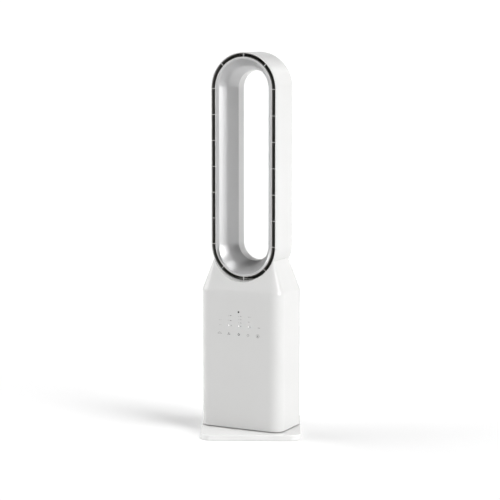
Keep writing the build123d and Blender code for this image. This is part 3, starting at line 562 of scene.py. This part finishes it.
def band(cx, cz, r0, r1, a0=0.0, a1=360.0, seg=28, sx=1.0, sz=1.0):
    """Part of a flat ring, as one closed shape."""
    full = abs(a1 - a0) >= 359.9
    k = seg if full else seg + 1
    pts = []
    for i in range(k):
        a = math.radians(a0 + (a1 - a0) * i / seg)
        pts.append((math.cos(a), math.sin(a)))
    v = []
    for y in (-69.045, -68.99):
        v += [(cx + r1 * c * sx, y, cz + r1 * s_ * sz) for c, s_ in pts]
        v += [(cx + r0 * c * sx, y, cz + r0 * s_ * sz) for c, s_ in pts]
    f = []
    for i in range(seg):
        j = (i + 1) % k
        f.append((i, j, k + j, k + i))
        f.append((2 * k + j, 2 * k + i, 3 * k + i, 3 * k + j))
        f.append((j, i, 2 * k + i, 2 * k + j))
        f.append((k + i, k + j, 3 * k + j, 3 * k + i))
    if not full:
        f.append((0, k, 3 * k, 2 * k))
        f.append((k - 1, 3 * k - 1, 4 * k - 1, 2 * k - 1))
    return v, f


def disc(cx, cz, r, seg=24, sx=1.0, sz=1.0, turn=0.0):
    ct, st_ = math.cos(math.radians(turn)), math.sin(math.radians(turn))
    pts = []
    for i in range(seg):
        a = 2 * math.pi * i / seg
        u, w_ = r * sx * math.cos(a), r * sz * math.sin(a)
        pts.append((cx + u * ct - w_ * st_, cz + u * st_ + w_ * ct))
    return plate(pts)


def bar(cx, cz, w_, h_, turn=0.0):
    ct, st_ = math.cos(math.radians(turn)), math.sin(math.radians(turn))
    pts = rounded([(-w_ / 2, -h_ / 2), (w_ / 2, -h_ / 2), (w_ / 2, h_ / 2), (-w_ / 2, h_ / 2)], [min(w_, h_) * 0.45] * 4, 3)
    return plate([(cx + u * ct - v_ * st_, cz + u * st_ + v_ * ct) for u, v_ in pts])


pale, dark = Parts(), Parts()
# swing: a double arrow under an arc
pale.add(*bar(-54, 256.6, 9.0, 0.8))
pale.add(*plate([(-60.2, 256.6), (-57.6, 255.2), (-57.6, 258.0)]))
pale.add(*plate([(-47.8, 256.6), (-50.4, 258.0), (-50.4, 255.2)]))
pale.add(*band(-54, 255.4, 4.2, 4.9, 40, 140, 14))
# air speed: three blades round a hub
for a in (90, 210, 330):
    ca, sa = math.cos(math.radians(a)), math.sin(math.radians(a))
    pale.add(*disc(-28 + 2.5 * ca, 257 + 2.5 * sa, 1.9, 18, 1.0, 0.62, a + 28))
pale.add(*disc(-28, 257, 0.8, 14))
# power: an open ring and a bar
dark.add(*band(0, 257.3, 1.7, 3.1, 122, 418, 26))
dark.add(*bar(0, 259.4, 1.5, 3.8))
# timer: a clock face
pale.add(*band(26, 257, 2.6, 3.3))
pale.add(*bar(26, 258.1, 0.7, 2.2))
pale.add(*bar(26.7, 257.0, 1.8, 0.7))
# mode: a large ring with a drop in it
pale.add(*band(53, 257, 3.9, 4.7))
pale.add(*disc(53, 256.4, 1.9, 20, 1.0, 1.15))
pale.add(*plate([(51.5, 257.4), (54.5, 257.4), (53.0, 260.4)]))
# levels beside the lights
for z in (303.6, 291.0):
    dark.add(*bar(-22.9, z, 4.4, 1.3))
pale.add(*bar(-21.6, 278.4, 1.0, 3.0))
pale.add(*bar(-19.9, 278.4, 1.0, 2.2))
for z in (303.6, 295.4, 287.0, 278.4):
    pale.add(*bar(4.6, z, 1.1, 2.8))
    pale.add(*bar(6.8, z, 1.9, 1.1))
for z in (303.6, 291.0):
    pale.add(*bar(28.2, z, 4.2, 1.0))
pale.add(*bar(33.0, 303.9, 3.4, 0.5, 12))
pale.add(*bar(31.4, 278.4, 1.0, 2.8))
pale.add(*bar(33.2, 278.4, 1.7, 1.0))
pale.add(*bar(56.4, 278.2, 6.6, 1.2))
for z in (291.0, 278.4):
    pale.add(*bar(-54.6, z, 2.2, 0.7))
    pale.add(*bar(-50.2, z, 1.8, 0.7))
# rings of the lights that are off
for x, zz in ((-28.4, (303.6, 291.0)), (-0.6, (303.6, 295.4, 287.0)), (-54.4, ())):
    for z in zz:
        pale.add(*band(x, z, 0.65, 0.95, seg=16))
marks = build("panel_marks", pale.v, pale.f, "grey_plastic", merge=0, sharp=30, weighted=False)
marks_dark = build("panel_marks_dark", dark.v, dark.f, "black_plastic", merge=0, sharp=30, weighted=False)
marks.data.materials[0] = INK["pale"]
marks_dark.data.materials[0] = INK["dark"]


def dome(cx, cz, r, rise, y=-68.99, seg=24, rings=5):
    """A low round dome on the front."""
    v, f = [(cx, y - rise, cz)], []
    for k in range(1, rings + 1):
        q = k / rings
        for i in range(seg):
            a = 2 * math.pi * i / seg
            v.append((cx + r * q * math.cos(a), y - rise * (1 - q**2.6), cz + r * q * math.sin(a)))
    f += [(0, 1 + (i + 1) % seg, 1 + i) for i in range(seg)]
    for k in range(rings - 1):
        for i in range(seg):
            j = (i + 1) % seg
            f.append((1 + k * seg + i, 1 + k * seg + j, 1 + (k + 1) * seg + j, 1 + (k + 1) * seg + i))
    f.append(tuple(1 + (rings - 1) * seg + i for i in range(seg)))
    return v, f


lights = Parts()
for x in (-28.4, -0.4, 27.0):
    lights.add(*dome(x, 278.4, 1.5, 0.07))
led = build("panel_lights", lights.v, lights.f, "led_lens", merge=0, sharp=60, weighted=False)
led.data.materials[0] = INK["lit"]
window = build("receiver_window", *dome(-0.8, 314.0, 2.8, 0.1), "smoked_window", merge=0, sharp=60, weighted=False)
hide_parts("ir_window")

# ------------------------------------------------------------ floor
bpy.ops.mesh.primitive_plane_add(size=160, location=(0, 40, 0))
floor = bpy.context.object
floor.name = "floor"
fm, ft, fb = material("floor")
fv = coords(ft)
ft.links.new(ramp(ft, noise(ft, fv, 3, 3, 0.5), [(0.3, (0.905, 0.905, 0.905)), (0.7, (0.915, 0.915, 0.915))]), fb.inputs["Base Color"])
ft.links.new(spread(ft, noise(ft, fv, 12, 4, 0.5), 0.85, 0.95), fb.inputs["Roughness"])
fb.inputs["Specular IOR Level"].default_value = 0.0
floor.data.materials.append(fm)

# ------------------------------------------------------------ world: a dim studio with a white background
w = bpy.data.worlds.new("studio")
bpy.context.scene.world = w
w.use_nodes = True
t = w.node_tree
bg = next(n for n in t.nodes if n.type == "BACKGROUND")
tc = t.nodes.new("ShaderNodeTexCoord")


def lobe(towards, a, b, lo, hi):
    dot = t.nodes.new("ShaderNodeVectorMath")
    dot.operation = "DOT_PRODUCT"
    dot.inputs[1].default_value = Vector(towards).normalized()
    t.links.new(tc.outputs["Generated"], dot.inputs[0])
    mr = t.nodes.new("ShaderNodeMapRange")
    mr.interpolation_type = "SMOOTHSTEP"
    mr.inputs["From Min"].default_value = a
    mr.inputs["From Max"].default_value = b
    mr.inputs["To Min"].default_value = lo
    mr.inputs["To Max"].default_value = hi
    t.links.new(dot.outputs["Value"], mr.inputs["Value"])
    return mr.outputs["Result"]


def add(x, y):
    m = t.nodes.new("ShaderNodeMath")
    m.operation = "ADD"
    t.links.new(x, m.inputs[0])
    t.links.new(y, m.inputs[1])
    return m.outputs["Value"]


level = add(lobe((0.02, 1, 0), 0.90, 0.985, 0.08, 0.68), lobe((-1, 0.1, 0.1), 0.6, 0.97, 0.0, 1.0))
path = t.nodes.new("ShaderNodeLightPath")
seen = t.nodes.new("ShaderNodeMix")
seen.data_type = "FLOAT"
t.links.new(path.outputs["Is Camera Ray"], seen.inputs["Factor"])
t.links.new(level, seen.inputs["A"])
seen.inputs["B"].default_value = 1.06
t.links.new(seen.outputs["Result"], bg.inputs["Strength"])
bg.inputs["Color"].default_value = (1, 1, 1, 1)


def soft_sun(name, towards, angle, strength):
    l = bpy.data.lights.new(name, "SUN")
    l.angle = math.radians(angle)
    l.energy = strength
    o = bpy.data.objects.new(name, l)
    bpy.context.scene.collection.objects.link(o)
    o.location = Vector(towards).normalized() * 4
    o.rotation_euler = (-Vector(towards)).to_track_quat("-Z", "Y").to_euler()
    return o


def towards(az, el):
    a, e = math.radians(az), math.radians(el)
    return (math.cos(a) * math.cos(e), math.sin(a) * math.cos(e), math.sin(e))


soft_sun("key_right", towards(-31, 18), 28, 0.52)
soft_sun("key_front_right", towards(-42, 20), 28, 0.60)
soft_sun("key_low", towards(-36, 9), 36, 1.42)
soft_sun("fill_left", towards(178, 20), 50, 0.55)
soft_sun("fill_back_left", towards(160, 30), 60, 1.00)
soft_sun("fill_front", towards(-150, 20), 40, 0.08)
soft_sun("overhead_front", towards(-95, 58), 40, 0.18)
soft_sun("overhead_left", towards(154, 60), 30, 0.36)
soft_sun("overhead_right", towards(-26, 68), 20, 1.25)
soft_sun("rim_right", towards(48, 42), 45, 0.20)
soft_sun("rim_low", towards(40, 16), 30, 0.18)

# ------------------------------------------------------------ camera
cam = bpy.data.cameras.new("camera")
cam.sensor_width = 36
cam.lens = 122.86
cam.clip_end = 400
co = bpy.data.objects.new("camera", cam)
bpy.context.scene.collection.objects.link(co)
co.location = (0.07091, -4.27442, 1.01562)
co.rotation_euler = (math.radians(90 - 7.366), 0, math.radians(0.993))
bpy.context.scene.camera = co
bpy.context.scene.view_settings.view_transform = "Standard"
